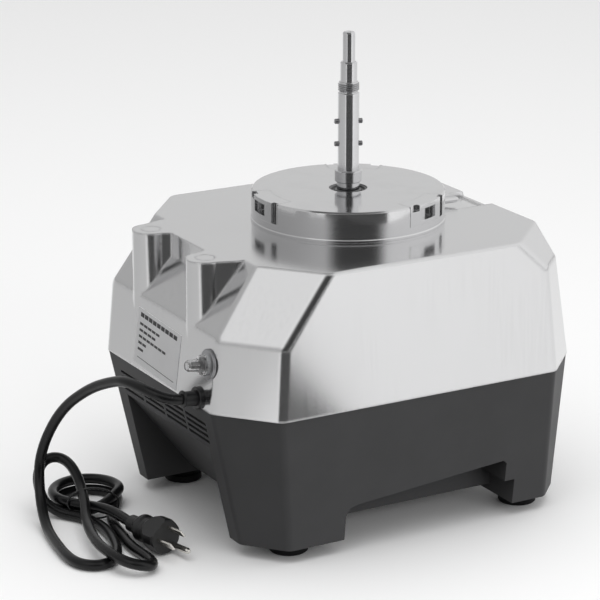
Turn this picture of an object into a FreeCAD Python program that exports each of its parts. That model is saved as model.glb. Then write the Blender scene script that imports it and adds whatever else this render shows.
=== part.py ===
"""Motor base of a bench-top vegetable cutter: cast upper housing, moulded base, bayonet seat,
stepped output shaft driven by a vertical motor, front controls, reset breaker and mains lead.

Millimetres. +Z is up and the controls face -Y. The origin is on the bench, under the middle of
the machine's box. The output shaft stands at y = axis_y, and pieces are placed from that axis.
"""
import FreeCAD, Part
import math
import os

import Sketcher

os.makedirs("parts", exist_ok=True)
V = FreeCAD.Vector
doc = FreeCAD.newDocument("VegetableCutterBase")

# ---------------------------------------------------------------- driving dimensions
dims = doc.addObject("Spreadsheet::Sheet", "Dims")
SIZES = {
    # where the whole machine sits
    "axis_y": -19.0,
    "seam_z": 119.0,
    "top_z": 225.1,
    "sole_z": 11.0,
    # walls of the cast housing: distance from the shaft's axis at the seam, and lean inwards
    "metal_side_dist": 130.3, "metal_side_lean": 0.0387,
    "metal_back_dist": 167.0, "metal_back_lean": 0.1,
    "metal_back_corner_dist": 184.05, "metal_back_corner_lean": 0.0726,
    "metal_front_dist": 144.0, "metal_front_lean": 0.2264,
    "metal_front_corner_dist": 169.0, "metal_front_corner_lean": 0.096,
    # sloping roof facets of the housing, given the same way
    "roof_back_dist": 201.7, "roof_back_lean": 0.709,
    "roof_back_corner_dist": 212.8, "roof_back_corner_lean": 0.597,
    "roof_front_corner_dist": 227.5, "roof_front_corner_lean": 0.8,
    "roof_clear_dist": 190.0, "roof_clear_lean": 0.0,
    # walls of the moulded base, which lean inwards as they go down
    "base_side_dist": 129.7, "base_side_lean": -0.1315,
    "base_back_dist": 166.4, "base_back_lean": -0.2213,
    "base_back_corner_dist": 183.4, "base_back_corner_lean": -0.1815,
    "base_front_dist": 143.4, "base_front_lean": -0.0963,
    "base_front_corner_dist": 168.4, "base_front_corner_lean": -0.0731,
    "metal_wall": 4.0,
    "plastic_wall": 3.5,
    "corner_round": 9.0,
    "top_round": 2.0,
    # rear bosses
    "boss_pitch": 89.0,
    "boss_y": 148.3,
    "boss_radius": 14.4,
    "boss_foot_z": 150.0,
    "boss_wall_y": 139.7,
    "boss_plug_radius": 7.5,
    "boss_plug_depth": 1.5,
    # arches and belly of the base
    "belly_half": 84.0,
    "arch_back_y": 63.0,
    "arch_front_y": 72.0,
    "arch_back_top": 38.5,
    "arch_front_top": 50.5,
    "leg_step_top": 32.0,
    "rear_opening_half": 69.0,
    "rear_opening_top": 86.0,
    "belly_z": 17.0,
    "hatch_length": 136.0,
    "hatch_width": 116.0,
    # bayonet seat
    "seat_radius": 75.0,
    "seat_top_z": 248.7,
    "seat_plate": 7.0,
    "seat_skirt": 8.0,
    "seat_bore": 14.9,
    "notch_floor_z": 232.8,
    "notch_inner": 60.5,
    "notch_angle": 36.0,
    "lug_first": 68.0,
    "plunger_angle": -95.0,
    "plunger_z": 228.6,
    # output shaft and motor
    "shaft_tip_z": 370.8,
    "shaft_radius": 8.2,
    "neck_radius": 8.8,
    "rotor_radius": 36.0,
    "stator_radius": 60.0,
    "core_low_z": 74.0,
    "core_high_z": 144.0,
    # controls on the leaning front wall
    "panel_z": 172.0,
    "panel_lean": 12.757,
    "panel_width": 150.0,
    "panel_height": 60.0,
    "panel_sheet": 2.0,
    "button_pitch": 44.0,
    "button_radius": 11.0,
    # rear wall fittings
    "rear_lean": 5.7106,
    "breaker_x": -78.6,
    "breaker_z": 154.6,
    "gland_x": -66.0,
    "gland_z": 125.4,
    "gland_reach": 14.0,
    "label_x": 3.8,
    "label_z": 143.7,
    # feet
    "foot_x": 87.0,
    "foot_back": 102.0,
    "foot_front": 105.0,
    "foot_radius": 14.8,
    # mains lead
    "cord_diameter": 8.2,
    "plug_x": -9.0,
    "plug_y": 195.6,
    "plug_z": 12.4,
    "plug_length": 43.8,
}
for row, (alias, size) in enumerate(SIZES.items(), start=1):
    dims.set(f"A{row}", alias.replace("_", " "))
    dims.set(f"B{row}", str(size))
    dims.setAlias(f"B{row}", alias)
doc.recompute()


# ---------------------------------------------------------------- ways of making pieces
def expr(text):
    """Turns 'seat_radius + 2' into an expression on the sheet's cells."""
    made = ""
    word = ""
    for mark in str(text) + " ":
        if mark.isalnum() or mark in "_.":
            word += mark
            continue
        made += ("Dims." + word if word in SIZES else word) + mark
        word = ""
    return made.strip()


def number(text):
    """Works an expression out as a plain number."""
    result = dims.evalExpression(expr(text))
    return float(getattr(result, "Value", result))


def bind(item, **sizes):
    for name, text in sizes.items():
        item.setExpression(name, expr(text))
    return item


def place(item, at=("0", "0", "0"), turn=None):
    """Puts an item at a point given from the shaft's axis on the bench, and turns it."""
    rotation = turn if turn is not None else FreeCAD.Rotation()
    item.Placement = FreeCAD.Placement(V(), rotation)
    item.setExpression("Placement.Base.x", expr(at[0]))
    item.setExpression("Placement.Base.y", expr(f"axis_y + ({at[1]})"))
    item.setExpression("Placement.Base.z", expr(at[2]))
    return item


def about(axis, angle):
    return FreeCAD.Rotation(V(*axis), angle)


TO_BACK = about((1, 0, 0), number("rear_lean") - 90)
TO_FRONT = about((1, 0, 0), 90 - number("panel_lean"))
TO_MINUS_Y = about((1, 0, 0), 90)


def on_rear(x, z, out="0"):
    """A point on the leaning rear wall, or out from it along its normal."""
    depth = f"metal_back_dist - metal_back_lean * ({z} - seam_z)"
    return (x, f"{depth} + ({out}) * cos(rear_lean)", f"{z} + ({out}) * sin(rear_lean)")


def on_front(x, up="0", out="0"):
    """A point on the leaning front wall, up from the panel's middle and out along its normal."""
    depth = "metal_front_dist - metal_front_lean * (panel_z - seam_z)"
    y = f"-({depth}) + ({up}) * sin(panel_lean) - ({out}) * cos(panel_lean)"
    return (x, y, f"panel_z + ({up}) * cos(panel_lean) + ({out}) * sin(panel_lean)")


def cylinder(name, radius, height, at=("0", "0", "0"), turn=None, angle="360"):
    item = doc.addObject("Part::Cylinder", name)
    bind(item, Radius=radius, Height=height, Angle=angle)
    return place(item, at, turn)


def box(name, length, width, height, at=("0", "0", "0"), turn=None):
    item = doc.addObject("Part::Box", name)
    bind(item, Length=length, Width=width, Height=height)
    return place(item, at, turn)


def centred_box(name, length, width, height, at=("0", "0", "0")):
    """A box with its base's middle at a point."""
    corner = (f"{at[0]} - ({length}) / 2", f"{at[1]} - ({width}) / 2", at[2])
    return box(name, length, width, height, corner)


def fuse(name, *items):
    item = doc.addObject("Part::MultiFuse", name)
    item.Shapes = list(items)
    return item


def common(name, *items):
    item = doc.addObject("Part::MultiCommon", name)
    item.Shapes = list(items)
    return item


def group(name, *items):
    item = doc.addObject("Part::Compound", name)
    item.Links = list(items)
    return item


def cut(name, base, *tools):
    item = doc.addObject("Part::Cut", name)
    item.Base = base
    item.Tool = tools[0] if len(tools) == 1 else fuse(name + "Tools", *tools)
    return item


def tube(name, outer, inner, height, at=("0", "0", "0"), turn=None):
    wall = cylinder(name + "Wall", outer, height, at, turn)
    return cut(name, wall, cylinder(name + "Hole", inner, height, at, turn))


def polygon(body, name, role, points):
    """A closed outline of straight lines; each corner is held by its two coordinates."""
    sketch = body.newObject("Sketcher::SketchObject", name)
    plane = next(f for f in body.Origin.OriginFeatures if f.Role == role)
    sketch.AttachmentSupport = (plane, [""])
    sketch.MapMode = "FlatFace"
    spots = [V(number(x), number(y), 0) for x, y in points]
    count = len(spots)
    for k in range(count):
        sketch.addGeometry(Part.LineSegment(spots[k], spots[(k + 1) % count]), False)
    for k in range(count):
        sketch.addConstraint(Sketcher.Constraint("Coincident", k, 2, (k + 1) % count, 1))
    for k, (x, y) in enumerate(points):
        for kind, text, start in (("DistanceX", x, spots[k].x), ("DistanceY", y, spots[k].y)):
            held = sketch.addConstraint(Sketcher.Constraint(kind, -1, 1, k, 1, start))
            sketch.setExpression(f"Constraints[{held}]", expr(text))
    return sketch


def turned(name, profile, at=("0", "0", "0"), turn=None):
    """A body of revolution about its own Z, from its (radius, height) corners."""
    body = doc.addObject("PartDesign::Body", name)
    sketch = polygon(body, name + "Profile", "XZ_Plane", profile)
    spin = body.newObject("PartDesign::Revolution", name + "Turned")
    spin.Profile = sketch
    spin.ReferenceAxis = (sketch, ["V_Axis"])
    spin.Angle = 360
    return place(body, at, turn)


def padded(name, points, length, at=("0", "0", "0"), turn=None, role="XY_Plane"):
    """A flat outline padded along its plane's normal."""
    body = doc.addObject("PartDesign::Body", name)
    sketch = polygon(body, name + "Outline", role, points)
    pad = body.newObject("PartDesign::Pad", name + "Pad")
    pad.Profile = sketch
    pad.setExpression("Length", expr(length))
    return place(body, at, turn)


def walled_block(name, walls, low_z, high_z, inset=0.0):
    """Eight-sided block whose leaning walls are (bearing, sheet name) pairs, drawn in by inset."""
    def corners(level):
        spots = []
        for here, after in zip(walls, walls[1:] + walls[:1]):
            lines = []
            for bearing, wall in (here, after):
                reach = number(f"{wall}_dist - {wall}_lean * ({level} - seam_z)") - inset
                turn = math.radians(bearing)
                lines.append((math.cos(turn), math.sin(turn), reach))
            (c1, s1, d1), (c2, s2, d2) = lines
            share = c1 * s2 - c2 * s1
            spots.append(V((d1 * s2 - d2 * s1) / share, (c1 * d2 - c2 * d1) / share, level))
        return spots

    low, high = corners(low_z), corners(high_z)
    faces = [Part.Face(Part.makePolygon(ring + ring[:1])) for ring in (low[::-1], high)]
    for k in range(len(low)):
        after = (k + 1) % len(low)
        quad = [low[k], low[after], high[after], high[k], low[k]]
        faces.append(Part.Face(Part.makePolygon(quad)))
    item = doc.addObject("Part::Feature", name)
    item.Shape = Part.Solid(Part.Shell(faces))
    return place(item)


def rounded(name, base, radius_of):
    """Rounds the edges for which radius_of gives a radius."""
    doc.recompute()
    item = doc.addObject("Part::Fillet", name)
    item.Base = base
    edges = []
    for index, edge in enumerate(base.Shape.Edges, start=1):
        radius = radius_of(edge)
        if radius:
            edges.append((index, radius, radius))
    item.Edges = edges
    return item


NODES = {}


def node(name, item):
    """Keeps an item as a named piece of the machine."""
    item.Label = name
    NODES[name] = item
    return item


# ---------------------------------------------------------------- upper housing
def bearings(side, back_corner, back, front_corner, front):
    """Walls in order round the plan, from +X through the back (+Y)."""
    return [(0, side), (50, back_corner), (90, back), (130, back_corner),
            (180, side), (225, front_corner), (270, front), (315, front_corner)]


METAL = bearings("metal_side", "metal_back_corner", "metal_back", "metal_front_corner", "metal_front")
ROOF = bearings("roof_clear", "roof_back_corner", "roof_back", "roof_front_corner", "roof_clear")
BASE = bearings("base_side", "base_back_corner", "base_back", "base_front_corner", "base_front")


def housing_block():
    """Faceted casting: leaning walls meet sloping roof facets at the back and the front corners."""
    seam, top = number("seam_z"), number("top_z")
    walls = walled_block("HousingWalls", METAL, seam, top)
    roof = walled_block("HousingRoof", ROOF, seam, top)
    block = common("HousingBlock", walls, roof)
    block.Refine = True

    def radius_of(edge):
        heights = [vertex.Z for vertex in edge.Vertexes]
        if max(heights) < seam + 0.1:
            return None
        if min(heights) > top - 0.1:
            return number("top_round")
        return number("corner_round")

    return rounded("HousingRounded", block, radius_of)


def boss_pad():
    """Plate at the top of the back that carries the two bosses out past the sloping roof."""
    right = [("66", "118"), ("63.5", "134"), ("58.9", "147"), ("30.1", "147"), ("26.5", "boss_wall_y")]
    left = [(f"-({x})", y) for x, y in reversed(right)]
    tall = "top_z - boss_foot_z"
    pieces = [padded("BossPlate", right + left, tall, ("0", "0", "boss_foot_z"))]
    for sign in (-1, 1):
        spot = (f"{sign} * boss_pitch / 2", "boss_y", "boss_foot_z")
        pieces.append(cylinder("Boss", "boss_radius", tall, spot))
    return pieces


SEAT_SCREWS = (50, 170, 290)


def build_upper_housing():
    solid = fuse("HousingSolid", housing_block(), *boss_pad())
    seam, ceiling = number("seam_z"), number("top_z - metal_wall")
    wall = number("metal_wall")
    inner_walls = walled_block("CavityWalls", METAL, seam - 1, ceiling, wall)
    inner_roof = walled_block("CavityRoof", ROOF, seam - 1, ceiling, wall)
    tools = [
        common("HousingCavity", inner_walls, inner_roof),
        cylinder("HubBore", "25", "12", ("0", "0", "top_z - 10")),
        cylinder("BreakerHole", "6.3", "20", on_rear("breaker_x", "breaker_z", "-15"), TO_BACK),
        cylinder("GlandHole", "6.3", "20", on_rear("gland_x", "gland_z", "-15"), TO_BACK),
        box("PanelWindow", "panel_width - 20", "panel_height - 16", "24",
            on_front("-panel_width / 2 + 10", "-panel_height / 2 + 8", "-16"), TO_FRONT),
        box("FrontRamp", "44", "60", "10", ("22", "-80", "top_z"),
            about((1, 0, 0), 5.85).multiply(about((0, 0, 1), 180))),
    ]
    for sign in (-1, 1):
        spot = (f"{sign} * boss_pitch / 2", "boss_y", "top_z - boss_plug_depth")
        tools.append(cylinder("PlugSeat", "boss_plug_radius", "boss_plug_depth + 1", spot))
        for up in (-1, 1):
            spot = on_front(f"{sign} * (panel_width / 2 - 5)", f"{up} * (panel_height / 2 - 4)", "-8")
            tools.append(cylinder("PanelScrewHole", "1.5", "14", spot, TO_FRONT))
    for angle in SEAT_SCREWS:
        x, y = (f"71 * {trig}({angle})" for trig in ("cos", "sin"))
        tools.append(cylinder("SeatScrewHole", "2.1", "8", (x, y, "top_z - 6")))
    return cut("UpperHousing", solid, *tools)


node("upper_housing", build_upper_housing())

boss_plugs = []
for sign in (-1, 1):
    spot = (f"{sign} * boss_pitch / 2", "boss_y", "top_z - boss_plug_depth")
    boss_plugs.append(cylinder("BossPlug", "boss_plug_radius - 0.1", "boss_plug_depth", spot))
node("boss_plugs", group("BossPlugs", *boss_plugs))


# ---------------------------------------------------------------- moulded base
def underside_cuts(wall):
    """Arches between the legs and the belly's floor; wall leaves room for the moulding's wall."""
    grow = f"{wall}"
    arch = [
        (f"arch_back_y + 7 + {grow}", "0"),
        (f"arch_back_y + 7 + {grow}", "arch_back_top - 8"),
        (f"arch_back_y + 4 + {grow}", f"arch_back_top - 1.5 + {grow}"),
        (f"arch_back_y - 3 + {grow}", f"arch_back_top + 0.3 + {grow}"),
        (f"-arch_front_y + 3 - {grow}", f"arch_front_top - 0.3 + {grow}"),
        (f"-arch_front_y - {grow}", f"arch_front_top - 3 + {grow}"),
        (f"-arch_front_y - {grow}", f"leg_step_top + {grow}"),
        (f"-arch_front_y - 9 - {grow}", f"leg_step_top + {grow}"),
        (f"-arch_front_y - 9 - {grow}", "0"),
    ]
    tunnels = []
    for start in (f"belly_half - {grow}", "-140"):
        tunnels.append(padded("SideArch", arch, f"140 - belly_half + {grow}", (start, "0", "0"),
                              None, "YZ_Plane"))
    rear = [
        ("175", "0"),
        ("175", f"rear_opening_top + {grow}"),
        (f"158 - 1.2 * {grow}", f"rear_opening_top + {grow}"),
        (f"104 - 1.2 * {grow}", f"belly_z + {grow}"),
        (f"104 - 1.2 * {grow}", "0"),
    ]
    front = [
        ("-150", "0"),
        (f"-106 + 1.1 * {grow}", "0"),
        (f"-106 + 1.1 * {grow}", f"belly_z + {grow}"),
        (f"-132 + 1.1 * {grow}", f"44 + {grow}"),
        ("-150", f"44 + {grow}"),
    ]
    half = f"rear_opening_half + {grow}"
    for profile in (rear, front):
        tunnels.append(padded("EndArch", profile, f"2 * ({half})", (f"-({half})", "0", "0"),
                              None, "YZ_Plane"))
    floor = f"belly_z + {grow}"
    tunnels.append(centred_box("BellyLong", f"2 * ({half})", "220", floor, ("0", "0", "0")))
    tunnels.append(box("BellyWide", f"2 * (belly_half + 1)", f"arch_back_y + arch_front_y + 16 + 2 * {grow}",
                       floor, ("-belly_half - 1", f"-arch_front_y - 9 - {grow}", "0")))
    return tunnels


def build_base_shell():
    sole, seam = number("sole_z"), number("seam_z")
    wall = number("plastic_wall")
    block = walled_block("BaseBlock", BASE, sole, seam)

    def radius_of(edge):
        heights = [vertex.Z for vertex in edge.Vertexes]
        if min(heights) > seam - 0.1:
            return None
        return None if max(heights) < sole + 0.1 else 8.0

    outside = cut("BaseOutside", rounded("BaseRounded", block, radius_of), *underside_cuts("0"))
    room = walled_block("BaseRoom", BASE, sole + wall, seam + 1, wall)
    inside = cut("BaseInside", room, *underside_cuts("plastic_wall"))
    tools = [inside]
    tools.append(centred_box("Hatch", "hatch_length", "hatch_width", "12", ("0", "-4", "belly_z - 4")))
    for row in range(4):
        for column in range(4):
            x = f"{-72 + 36.5 * column}"
            z = f"{90 + 4.8 * row}"
            tools.append(box("VentSlot", "33", "30", "2.4", (x, "145", z)))
    for x, y in FOOT_SPOTS.values():
        tools.append(cylinder("FootScrewHole", "2.1", "12", (x, y, "sole_z - 2")))
    for x, y in HATCH_SPOTS:
        tools.append(cylinder("HatchScrewHole", "1.75", "8", (x, y, "belly_z - 2")))
    tools.append(cylinder("NutRoom", "9.6", "8", on_rear("gland_x", "gland_z", "-12"), TO_BACK))
    return cut("BaseShell", outside, *tools)


FOOT_SPOTS = {
    "rear_left": ("-foot_x", "foot_back"),
    "rear_right": ("foot_x", "foot_back"),
    "front_left": ("-foot_x", "-foot_front"),
    "front_right": ("foot_x", "-foot_front"),
}
HATCH_SPOTS = [(f"{sx} * (hatch_length + 7) / 2", f"{sy} * (hatch_width + 7) / 2 - 4")
               for sx in (-1, 1) for sy in (-1, 1)]
node("base_shell", build_base_shell())

hatch = centred_box("HatchPlate", "hatch_length + 14", "hatch_width + 14", "2", ("0", "-4", "belly_z - 2"))
hatch_tools = [centred_box("HatchVent", "4", "70", "6", (f"{x}", "-4", "belly_z - 4"))
               for x in range(-44, 45, 11)]
hatch_tools += [cylinder("HatchHole", "1.8", "6", (x, y, "belly_z - 4")) for x, y in HATCH_SPOTS]
node("bottom_cover", cut("BottomCover", hatch, *hatch_tools))
hatch_screws = []
for x, y in HATCH_SPOTS:
    hatch_screws.append(turned("HatchScrew", [("0", "-1.8"), ("3.2", "-1.8"), ("3.2", "0"), ("1.7", "0"),
                                              ("1.7", "5"), ("0", "5")], (x, y, "belly_z - 2")))
node("cover_screws", group("CoverScrews", *hatch_screws))

for name, (x, y) in FOOT_SPOTS.items():
    profile = [("2.2", "3"), ("6", "3"), ("6", "0"), ("foot_radius - 0.8", "0"), ("foot_radius", "0.8"),
               ("foot_radius", "5.4"), ("foot_radius - 1.6", "6.4"), ("foot_radius - 2.6", "sole_z"),
               ("2.2", "sole_z")]
    node(f"foot_{name}", turned("Foot", profile, (x, y, "0")))
foot_screws = []
for x, y in FOOT_SPOTS.values():
    foot_screws.append(turned("FootScrew", [("0", "0.6"), ("4.2", "0.6"), ("4.2", "3"), ("2", "3"),
                                            ("2", "sole_z + 6"), ("0", "sole_z + 6")], (x, y, "0")))
node("foot_screws", group("FootScrews", *foot_screws))


# ---------------------------------------------------------------- bayonet seat
def sector(name, outer, inner, height, low_z, start, angle):
    """A curved block about the shaft's axis."""
    at = ("0", "0", low_z)
    wedge = cylinder(name + "Wedge", outer, height, at, about((0, 0, 1), start), angle)
    return cut(name, wedge, cylinder(name + "Core", inner, height, at))


seat_profile = [
    ("seat_bore", "seat_top_z - 16"), ("24", "seat_top_z - 16"), ("24", "seat_top_z - seat_plate"),
    ("seat_radius - seat_skirt", "seat_top_z - seat_plate"), ("seat_radius - seat_skirt", "top_z"),
    ("seat_radius + 0.5", "top_z"), ("seat_radius + 0.5", "top_z + 1.8"), ("seat_radius", "top_z + 2.4"),
    ("seat_radius", "seat_top_z - 1.2"), ("seat_radius - 1.2", "seat_top_z"), ("seat_bore", "seat_top_z"),
]
seat_tools = []
lug_blocks = []
for turn_angle in (0, 120, 240):
    start = number("lug_first") + turn_angle
    seat_tools.append(sector("SeatNotch", "seat_radius + 2", "notch_inner", "20", "notch_floor_z",
                             start, "notch_angle"))
    lug = sector("LugBlock", "seat_radius", "notch_inner + 0.1", "seat_top_z - notch_floor_z",
                 "notch_floor_z", start + 0.2, "notch_angle - 0.4")
    nick = sector("LugNick", "seat_radius + 1", "seat_radius - 3.5", "6", "seat_top_z - 4.5",
                  start + 1.5, "6")
    track = sector("LugTrack", "seat_radius + 1", "seat_radius - 5", "9", "seat_top_z - 12.5",
                   start + 9, "14.5")
    slot = sector("LugSlot", "seat_radius + 1", "seat_radius - 3", "20", "notch_floor_z - 1",
                  start + 30.5, "4.6")
    lug_blocks.append(cut("BayonetLug", lug, nick, track, slot))
for angle in SEAT_SCREWS:
    x, y = (f"71 * {trig}({angle})" for trig in ("cos", "sin"))
    seat_tools.append(cylinder("SeatTap", "2.1", "9", (x, y, "top_z - 1")))
plunger_turn = about((0, 0, 1), number("plunger_angle") + 90).multiply(TO_MINUS_Y)
along_plunger = ("cos(plunger_angle)", "sin(plunger_angle)")


def on_plunger(reach, x_off="0"):
    """A point along the interlock plunger's line, out from the shaft's axis."""
    return (f"({reach}) * {along_plunger[0]} + {x_off}", f"({reach}) * {along_plunger[1]}", "plunger_z")


seat_tools.append(cylinder("PlungerBore", "2.55", "20", on_plunger("60"), plunger_turn))
node("bowl_seat", cut("BowlSeat", turned("SeatBody", seat_profile), *seat_tools))
for index, lug in enumerate(lug_blocks, start=1):
    node(f"bayonet_lug_{index}", lug)
seat_screws = []
for angle in SEAT_SCREWS:
    x, y = (f"71 * {trig}({angle})" for trig in ("cos", "sin"))
    seat_screws.append(turned("SeatScrew", [("0", "-3"), ("3.8", "-3"), ("3.8", "0"), ("2", "0"),
                                            ("2", "11"), ("0", "11")], (x, y, "top_z - metal_wall")))
node("seat_screws", group("SeatScrews", *seat_screws))
node("interlock_plunger", turned("InterlockPlunger", [
    ("0", "0"), ("2.5", "0"), ("2.5", "38"), ("1.7", "39.6"), ("0", "40")], on_plunger("56"), plunger_turn))
node("interlock_switch", centred_box("InterlockSwitch", "20", "10", "9.5", ("-4", "-44", "top_z")))

# rotary seal where the shaft leaves the seat
node("shaft_seal", turned("ShaftSeal", [
    ("neck_radius + 0.05", "0"), ("11", "0"), ("seat_bore - 0.02", "0"), ("seat_bore - 0.02", "7"),
    ("13", "7"), ("12.4", "5.8"), ("10.8", "5.8"), ("10.2", "6.6"), ("neck_radius + 0.05", "6.6")],
    ("0", "0", "seat_top_z - 7.8")))


# ---------------------------------------------------------------- output shaft
shaft_profile = [
    ("0", "30"), ("7.5", "30"), ("7.5", "64"), ("9.5", "64"), ("9.5", "core_high_z + 16"),
    ("neck_radius", "core_high_z + 16"), ("neck_radius", "263.2"), ("shaft_radius", "263.2"),
    ("shaft_radius", "323.4"), ("shaft_radius - 0.6", "324"), ("7.1", "324"), ("7.1", "324.8"),
    ("7.6", "325.4"), ("7.6", "331.8"), ("7.1", "332.4"), ("6.45", "332.4"), ("6.45", "346.9"),
    ("5.6", "347.8"), ("4.75", "347.8"), ("4.75", "shaft_tip_z - 1"), ("3.9", "shaft_tip_z"),
    ("1.6", "shaft_tip_z"), ("0", "shaft_tip_z - 3"),
]
pin_turn = about((0, 0, 1), 68.4).multiply(about((0, 1, 0), 90))
pin_reach = 11.0
pin_along = pin_turn.multVec(V(0, 0, 1))
pin_tools = []
drive_pins = []
for z in ("301.3", "283.6"):
    spot = (f"{-pin_reach * pin_along.x:.4f}", f"{-pin_reach * pin_along.y:.4f}", z)
    pin_tools.append(cylinder("PinHole", "2.05", f"{2 * pin_reach}", spot, pin_turn))
    drive_pins.append(turned("DrivePin", [("0", "0"), ("1.4", "0"), ("2", "0.6"), ("2", "21.4"),
                                          ("1.4", "22"), ("0", "22")], spot, pin_turn))
node("output_shaft", cut("OutputShaft", turned("ShaftTurned", shaft_profile), *pin_tools))
node("drive_pins", group("DrivePins", *drive_pins))
node("shaft_collar", turned("ShaftCollar", [
    ("neck_radius + 0.01", "-0.8"), ("10.1", "-0.8"), ("10.5", "-0.4"), ("10.5", "7.8"), ("10", "8.2"),
    ("neck_radius + 0.01", "8.2")], ("0", "0", "254.9")))


# ---------------------------------------------------------------- motor
BELL_BOLTS = (45, 135, 225, 315)
node("rotor_core", tube("RotorCore", "rotor_radius", "9.52", "core_high_z - core_low_z",
                        ("0", "0", "core_low_z")))
node("stator_core", tube("StatorCore", "stator_radius", "rotor_radius + 0.5", "core_high_z - core_low_z",
                         ("0", "0", "core_low_z")))
windings = []
for low_z in ("core_high_z", "core_low_z - 14"):
    windings.append(tube("Winding", "stator_radius - 8", "rotor_radius + 3", "14", ("0", "0", low_z)))
node("stator_windings", group("StatorWindings", *windings))
bell = turned("BellTurned", [
    ("17.5", "190"), ("17.5", "202"), ("14", "202"), ("14", "top_z - 1"), ("24.9", "top_z - 1"),
    ("24.9", "top_z - metal_wall"), ("56", "top_z - metal_wall"), ("56", "214"), ("30", "210"),
    ("26", "186"), ("56", "176"), ("stator_radius", "168"), ("stator_radius", "core_high_z + 0.1"),
    ("stator_radius - 4", "core_high_z + 0.1"), ("stator_radius - 4", "164"), ("54", "170"),
    ("22", "180"), ("17.5", "180")])
bell_holes = []
for angle in BELL_BOLTS:
    at = (f"50 * cos({angle})", f"50 * sin({angle})", "208")
    bell_holes.append(cylinder("BellHole", "2.5", "16", at))
node("motor_upper_bell", cut("UpperBell", bell, *bell_holes))
node("motor_lower_bell", turned("LowerBell", [
    ("16.1", "44"), ("20", "44"), ("24", "50"), ("55", "54"), ("stator_radius", "58"),
    ("stator_radius", "core_low_z - 0.1"), ("stator_radius - 4", "core_low_z - 0.1"),
    ("stator_radius - 4", "59"), ("22", "56"), ("16.1", "56")]))
node("upper_bearing", tube("UpperBearing", "17.45", "neck_radius + 0.04", "12", ("0", "0", "190")))
node("lower_bearing", tube("LowerBearing", "16.05", "7.54", "11", ("0", "0", "44.5")))
fan_parts = [tube("FanHub", "14", "7.52", "10", ("0", "0", "31")),
             tube("FanRim", "44", "42", "3", ("0", "0", "31.5"))]
for turn_angle in range(0, 360, 45):
    at = (f"13.6 * cos({turn_angle})", f"13.6 * sin({turn_angle})", "31.5")
    fan_parts.append(box("FanBlade", "29.4", "2", "9", at, about((0, 0, 1), turn_angle)))
node("cooling_fan", fuse("CoolingFan", *fan_parts))
motor_bolts = []
for angle in BELL_BOLTS:
    at = (f"50 * cos({angle})", f"50 * sin({angle})", "top_z - metal_wall")
    motor_bolts.append(turned("MotorBolt", [("0", "-14"), ("4.2", "-14"), ("4.2", "-10.2"), ("2.4", "-10.2"),
                                            ("2.4", "-0.2"), ("0", "-0.2")], at))

node("motor_bolts", group("MotorBolts", *motor_bolts))
clip = tube("ClipRing", "19.4", "18.02", "14", ("97", "-20", "96"))
clip_tab = box("ClipTab", "22", "14", "1.6", ("57.4", "-27", "96"))
clip_room = cylinder("ClipRoom", "18.02", "14", ("97", "-20", "96"))
clip_core = cylinder("ClipCore", "stator_radius", "90", ("0", "0", "60"))
node("capacitor_clip", cut("CapacitorClip", fuse("ClipSolid", clip, clip_tab), clip_room, clip_core))
node("run_capacitor", turned("RunCapacitor", [
    ("0", "66"), ("17.4", "66"), ("18", "66.6"), ("18", "136"), ("17", "137"), ("4", "137"), ("4", "144"),
    ("0", "144")], ("97", "-20", "0")))


# ---------------------------------------------------------------- front controls
BUTTONS = {"start": "-button_pitch", "pulse": "0", "stop": "button_pitch"}
panel = box("PanelPlate", "panel_width", "panel_height", "panel_sheet",
            on_front("-panel_width / 2", "-panel_height / 2"), TO_FRONT)
panel_tools = []
panel_screws = []
for x in BUTTONS.values():
    panel_tools.append(cylinder("StemHole", "4.4", "12", on_front(x, "0", "-4"), TO_FRONT))
for sx in (-1, 1):
    for sy in (-1, 1):
        x = f"{sx} * (panel_width / 2 - 5)"
        up = f"{sy} * (panel_height / 2 - 4)"
        panel_tools.append(cylinder("PanelHole", "1.5", "12", on_front(x, up, "-4"), TO_FRONT))
        panel_screws.append(turned("PanelScrew", [
            ("0", "-5"), ("1.45", "-5"), ("1.45", "2"), ("2.8", "2"), ("2.8", "3.2"), ("2.2", "3.8"),
            ("0", "3.8")], on_front(x, up), TO_FRONT))
node("control_panel", cut("ControlPanel", panel, *panel_tools))
node("panel_screws", group("PanelScrews", *panel_screws))
for name, x in BUTTONS.items():
    at = on_front(x)
    node(f"{name}_bezel", turned("Bezel", [
        ("button_radius + 0.3", "2"), ("14", "2"), ("14", "5.4"), ("13.2", "6.6"), ("button_radius + 0.3", "6.6")],
        at, TO_FRONT))
    node(f"{name}_button", turned("Button", [
        ("0", "-9"), ("4", "-9"), ("4", "5.6"), ("button_radius", "5.6"), ("button_radius", "9"),
        ("button_radius - 1.4", "10.2"), ("0", "10.6")], at, TO_FRONT))
    block = box("ContactSolid", "22", "24", "26", on_front(f"{x} - 11", "-12", "-26"), TO_FRONT)
    well = cylinder("ContactWell", "4.4", "20", on_front(x, "0", "-16"), TO_FRONT)
    node(f"{name}_contacts", cut("ContactBlock", block, well))
board = box("BoardPlate", "124", "40", "1.6", on_front("-62", "-20", "-27.6"), TO_FRONT)
node("control_board", board)
posts = []
for sx in (-1, 1):
    for sy in (-1, 1):
        posts.append(cylinder("BoardPost", "2.4", "26", on_front(f"{sx * 59}", f"{sy * 16}", "-26"), TO_FRONT))
node("board_posts", group("BoardPosts", *posts))


# ---------------------------------------------------------------- rear wall fittings
def rear_turned(label, name, x, z, profile):
    return node(label, turned(name, profile, on_rear(x, z), TO_BACK))


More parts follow.
